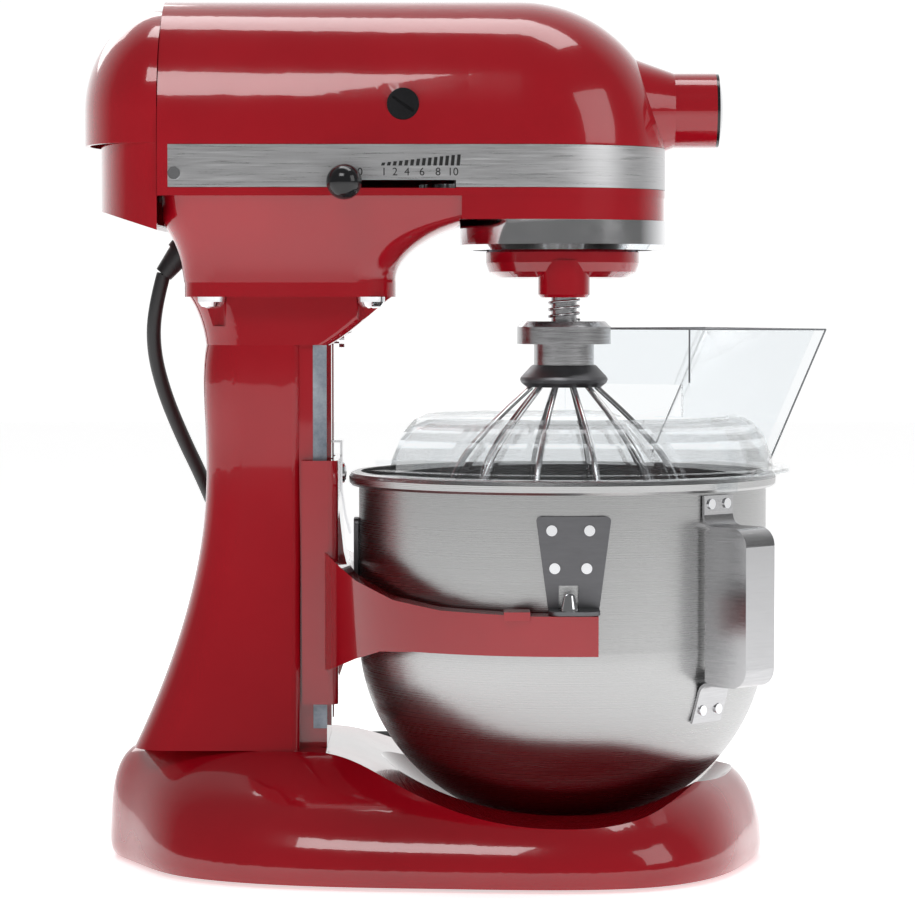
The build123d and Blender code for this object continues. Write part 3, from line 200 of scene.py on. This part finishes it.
def brushed(name, colour, stretch, low=0.2, high=0.36, scale=60.0, depth=0.12, around=False):
    """Brushed metal: fine lines that vary the gloss and the surface."""
    paint = Paint(name)
    paint.put(Metallic=1.0, Anisotropic=0.55)
    if around:
        spread = paint.node("ShaderNodeSeparateXYZ")
        paint.link(paint.place, spread.inputs[0])
        paint.place = spread.outputs["Z"]
        joined = paint.node("ShaderNodeCombineXYZ")
        paint.link(paint.place, joined.inputs["Z"])
        paint.place = joined.outputs[0]
    lines = paint.noise(scale, stretch, detail=6.0, rough=0.75)
    shade = tuple(channel * 0.8 for channel in colour)
    paint.link(paint.blend(paint.span(lines, 0, 1), shade, colour), paint.shader.inputs["Base Color"])
    paint.link(paint.span(lines, low, high), paint.shader.inputs["Roughness"])
    paint.bump(lines, depth, 0.0002)
    return paint.material


def chrome():
    paint = Paint("bright_chrome")
    paint.put(Metallic=1.0)
    cloud = paint.noise(30.0)
    paint.link(paint.blend(cloud, (0.74, 0.75, 0.77), (0.82, 0.82, 0.83)), paint.shader.inputs["Base Color"])
    paint.link(paint.span(cloud, 0.06, 0.14), paint.shader.inputs["Roughness"])
    return paint.material


def ground_iron():
    """Bluish ground casting with scratches."""
    paint = Paint("ground_iron")
    paint.put(Metallic=0.85)
    lines = paint.noise(50.0, (1.0, 1.0, 9.0), detail=8.0, rough=0.8)
    patches = paint.noise(24.0, detail=6.0, rough=0.8)
    paint.link(paint.blend(paint.span(patches, 0, 1), (0.12, 0.15, 0.19), (0.46, 0.50, 0.55)),
               paint.shader.inputs["Base Color"])
    paint.link(paint.span(lines, 0.35, 0.62), paint.shader.inputs["Roughness"])
    paint.bump(lines, 0.3, 0.0003)
    return paint.material


def plastic(name, colour, low, high, grain=700.0, depth=0.05):
    paint = Paint(name)
    cloud = paint.noise(20.0)
    lighter = tuple(channel * 1.6 + 0.002 for channel in colour)
    paint.link(paint.blend(paint.span(cloud, 0, 1), colour, lighter), paint.shader.inputs["Base Color"])
    paint.link(paint.span(cloud, low, high), paint.shader.inputs["Roughness"])
    paint.bump(paint.noise(grain, detail=2.0), depth, 0.0002)
    return paint.material


def clear_plastic():
    """Thin clear plastic: mostly see-through, with a gloss and faint haze."""
    paint = Paint("clear_plastic")
    paint.put(Base_Color=(0.9, 0.93, 0.95, 1), Metallic=0.0, Transmission_Weight=1.0, IOR=1.12)
    haze = paint.noise(30.0)
    paint.link(paint.span(haze, 0.01, 0.05), paint.shader.inputs["Roughness"])
    see = paint.node("ShaderNodeBsdfTransparent")
    see.inputs["Color"].default_value = (0.965, 0.97, 0.972, 1)
    mix = paint.node("ShaderNodeMixShader")
    mix.inputs["Fac"].default_value = 0.42
    paint.link(see.outputs[0], mix.inputs[1])
    paint.link(paint.shader.outputs[0], mix.inputs[2])
    paint.link(mix.outputs[0], paint.tree.nodes["Material Output"].inputs["Surface"])
    paint.bump(haze, 0.05, 0.0004)
    return paint.material


RED = enamel()
BAND = brushed("brushed_band", (0.80, 0.80, 0.81), (0.4, 0.4, 14.0), 0.24, 0.4, 80.0)
STEEL = brushed("brushed_steel", (0.50, 0.50, 0.50), (0.6, 0.6, 20.0), 0.2, 0.34, 90.0, around=True)
TURNED = brushed("turned_steel", (0.56, 0.56, 0.57), (0.6, 0.6, 12.0), 0.14, 0.28, 120.0, 0.08)
WIRE = brushed("drawn_wire", (0.70, 0.70, 0.71), (2.0, 2.0, 2.0), 0.12, 0.26, 60.0, 0.04)
CHROME = chrome()
IRON = ground_iron()
BRACKET = brushed("dull_steel", (0.20, 0.20, 0.21), (1.0, 1.0, 6.0), 0.34, 0.5, 60.0)
BLACK = plastic("black_gloss", (0.008, 0.008, 0.009), 0.08, 0.2)
DARK = plastic("dark_plastic", (0.014, 0.014, 0.015), 0.4, 0.6, 900.0, 0.2)
RUBBER = plastic("cord_rubber", (0.010, 0.010, 0.011), 0.34, 0.5, 1200.0, 0.15)
CLEAR = clear_plastic()
BRONZE = brushed("bronze", (0.45, 0.26, 0.12), (1.0, 1.0, 6.0), 0.3, 0.5, 50.0)
PRINT = plastic("black_print", (0.006, 0.006, 0.006), 0.4, 0.5)

LOOK = {
    RED: ("upper_housing", "lower_housing", "rear_cover", "column", "base", "yoke", "planetary"),
    STEEL: ("bowl",),
    TURNED: ("bowl_handle", "whisk_hub", "beater_shaft", "beater_spring", "planetary_shaft", "lift_handle",
             "lift_shaft", "base_screws", "worm_gear_shaft", "armature_shaft"),
    WIRE: ("whisk_wires",),
    CHROME: ("drip_ring", "hub_cap", "column_screws", "latch_spring", "latch_screw", "head_screws", "bowl_rivets",
             "locating_pins"),
    BAND: ("trim_band",),
    IRON: ("guide_ways", "ring_gear", "centre_gear", "agitator_pinion", "armature_core", "stator",
           "armature_bearings", "hub_drive"),
    BRACKET: ("bowl_brackets", "whisk_ferrule"),
    BLACK: ("speed_knob", "brush_caps", "attachment_knob", "lift_grip", "hub_ring"),
    DARK: ("control_plate", "speed_lever", "cooling_fan", "plug", "brush_holders", "feet"),
    RUBBER: ("cord_tie", "strain_relief"),
    CLEAR: ("pouring_shield",),
    BRONZE: ("planetary_bush", "worm_gear", "commutator"),
}


def dress(item, material):
    """Gives the item one material."""
    if not item.material_slots:
        item.data.materials.append(material)
    for slot in item.material_slots:
        slot.material = material


for material, names in LOOK.items():
    for name in names:
        dress(nodes[name], material)
dress(cord, RUBBER)


# ---------------------------------------------------------------- mesh helpers
def mesh_piece(name, build, material, body, smooth=True):
    """A mesh object filled by build(bm), riding on a body."""
    mesh = bpy.data.meshes.new(name)
    bm = bmesh.new()
    build(bm)
    bmesh.ops.recalc_face_normals(bm, faces=bm.faces)
    bm.to_mesh(mesh)
    bm.free()
    if smooth:
        mesh.shade_smooth()
    item = bpy.data.objects.new(name, mesh)
    bpy.context.scene.collection.objects.link(item)
    item.data.materials.append(material)
    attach(item, body)
    return item


def slab(bm, outline, y0, y1):
    """A plate from an (x, z) outline between two depths."""
    front = [bm.verts.new((x, y0, z)) for x, z in outline]
    back = [bm.verts.new((x, y1, z)) for x, z in outline]
    bm.faces.new(front)
    bm.faces.new(list(reversed(back)))
    count = len(outline)
    for index in range(count):
        other = (index + 1) % count
        bm.faces.new((front[index], back[index], back[other], front[other]))


# ---------------------------------------------------------------- speed scale
BAND_FACE = -0.0581            # just proud of the trim band, on the camera's side
NUMBER_SIZE = 0.0052
NUMBER_Z = 0.33095
NUMBERS = (
    ("0", -0.04572),
    ("1", -0.03447),
    ("2", -0.02931),
    ("4", -0.02368),
    ("6", -0.01665),
    ("8", -0.00914),
    ("10", -0.00211),
)
PRINT_DEPTH = 0.00006          # thickness of the printed numbers
BARS = 14
BAR_X = -0.03587                # foot of the first bar
BAR_Z = 0.33399
BAR_STEP = 0.00272
BAR_WIDTH = 0.00159
BAR_LEAN = 0.00047
BAR_LOW = 0.00140              # height of the first bar
BAR_GROWTH = 0.000290          # each bar is taller than the last by this


def speed_number(word, x):
    """One printed numeral of the speed scale."""
    data = bpy.data.curves.new("speed_" + word, "FONT")
    data.body = word
    data.size = NUMBER_SIZE
    data.align_x = "CENTER"
    data.align_y = "CENTER"
    data.extrude = PRINT_DEPTH
    label = bpy.data.objects.new("speed_" + word, data)
    bpy.context.scene.collection.objects.link(label)
    label.location = (x, BAND_FACE, NUMBER_Z)
    label.rotation_euler = (math.radians(90), 0, 0)
    data.materials.append(PRINT)
    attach(label, "mixer")


for word, x in NUMBERS:
    speed_number(word, x)


def bars(bm):
    """Leaning bars that grow with the speed."""
    for index in range(BARS):
        left = BAR_X + index * BAR_STEP
        top = BAR_Z + BAR_LOW + index * BAR_GROWTH
        outline = ((left, BAR_Z), (left + BAR_WIDTH, BAR_Z),
                   (left + BAR_WIDTH + BAR_LEAN, top), (left + BAR_LEAN, top))
        slab(bm, outline, BAND_FACE - 0.00008, BAND_FACE + 0.0002)


mesh_piece("speed_bars", bars, PRINT, "mixer", smooth=False)

# ---------------------------------------------------------------- painted shade along the clear chute's edges
# A dark grey plastic used as painted shade on the clear chute's edges; the clear plastic itself is not dark there.
EDGE_SHADE = plastic("painted_edge_shade", (0.16, 0.17, 0.18), 0.1, 0.2)
CORNERS_LOW = ((64.0, 31.0), (101.0, 16.0), (47.0, 90.0), (-1.0, 68.0))
CHUTE_FOOT = 188.3
CHUTE_RIM = 257.0
CORNERS_TOP = ((64.0, 31.0), (129.0, 6.0), (78.0, 112.0), (-1.0, 68.0))


def chute_point(index, z):
    """A corner of the chute at a height, in metres."""
    share = (z - CHUTE_FOOT) / (CHUTE_RIM - CHUTE_FOOT)
    low, top = CORNERS_LOW[index % 4], CORNERS_TOP[index % 4]
    x, y = (low[0] + (top[0] - low[0]) * share, low[1] + (top[1] - low[1]) * share)
    return (AX + x / 1000, y / 1000, z / 1000)


def shade_line(name, start, end):
    """A dark line along a clear wall's edge: painted shade standing in for how the edge bends the light."""
    middle = tuple((a + b) / 2 for a, b in zip(start, end))
    line = nurbs(name, [start, middle, end], 0.00045)
    line.data.materials.append(EDGE_SHADE)
    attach(line, "shield")


# Dark tubes up each corner and round the rim: painted shade along the chute's clear edges.
for index, low in enumerate((230.0, 193.0, 193.0, 230.0)):
    shade_line(f"chute_edge_shade_{index}", chute_point(index, low), chute_point(index, 256.4))
    shade_line(f"chute_rim_shade_{index}", chute_point(index, 256.6), chute_point(index + 1, 256.6))

# ---------------------------------------------------------------- floor, light
floor_mesh = bpy.data.meshes.new("floor")
floor_mesh.from_pydata([(-6, -6, 0), (6, -6, 0), (6, 6, 0), (-6, 6, 0)], [], [(0, 1, 2, 3)])
floor = bpy.data.objects.new("floor", floor_mesh)
bpy.context.scene.collection.objects.link(floor)
floor_paint = Paint("pale_floor")
floor_paint.put(Base_Color=(0.95, 0.95, 0.95, 1), Roughness=0.8, Emission_Strength=0.62)
floor_paint.put(Emission_Color=(1.0, 1.0, 1.0, 1))
floor_mesh.materials.append(floor_paint.material)

world = bpy.data.worlds.new("studio")
bpy.context.scene.world = world
world.use_nodes = True
sky = world.node_tree
direction = sky.nodes.new("ShaderNodeTexCoord")
split = sky.nodes.new("ShaderNodeSeparateXYZ")
sky.links.new(direction.outputs["Generated"], split.inputs[0])
level = sky.nodes.new("ShaderNodeMapRange")
for key, number in (("From Min", 0.1), ("From Max", 0.9), ("To Min", 0.16), ("To Max", 1.05)):
    level.inputs[key].default_value = number
sky.links.new(split.outputs["Y"], level.inputs["Value"])
sky.nodes["Background"].inputs["Color"].default_value = (1, 1, 1, 1)
sky.links.new(level.outputs["Result"], sky.nodes["Background"].inputs["Strength"])
bpy.context.scene.view_settings.view_transform = "Standard"


def lamp(name, place, target, power, width, height):
    """A soft rectangular light aimed at a point."""
    data = bpy.data.lights.new(name, "AREA")
    data.shape = "RECTANGLE"
    data.size = width
    data.size_y = height
    data.energy = power
    item = bpy.data.objects.new(name, data)
    bpy.context.scene.collection.objects.link(item)
    item.location = place
    item.rotation_euler = (Vector(target) - Vector(place)).to_track_quat("-Z", "Y").to_euler()
    return item


lamp("key", (-0.5, -1.4, 1.7), (0, 0, 0.2), 10, 0.9, 0.6)
lamp("fill", (1.4, -0.9, 0.9), (0, 0, 0.2), 5, 0.8, 1.0)
lamp("top", (0.1, 0.2, 1.8), (0, 0, 0.2), 10, 1.4, 0.5)
lamp("back", (-0.8, 1.5, 1.2), (0, 0, 0.25), 6, 1.0, 0.8)
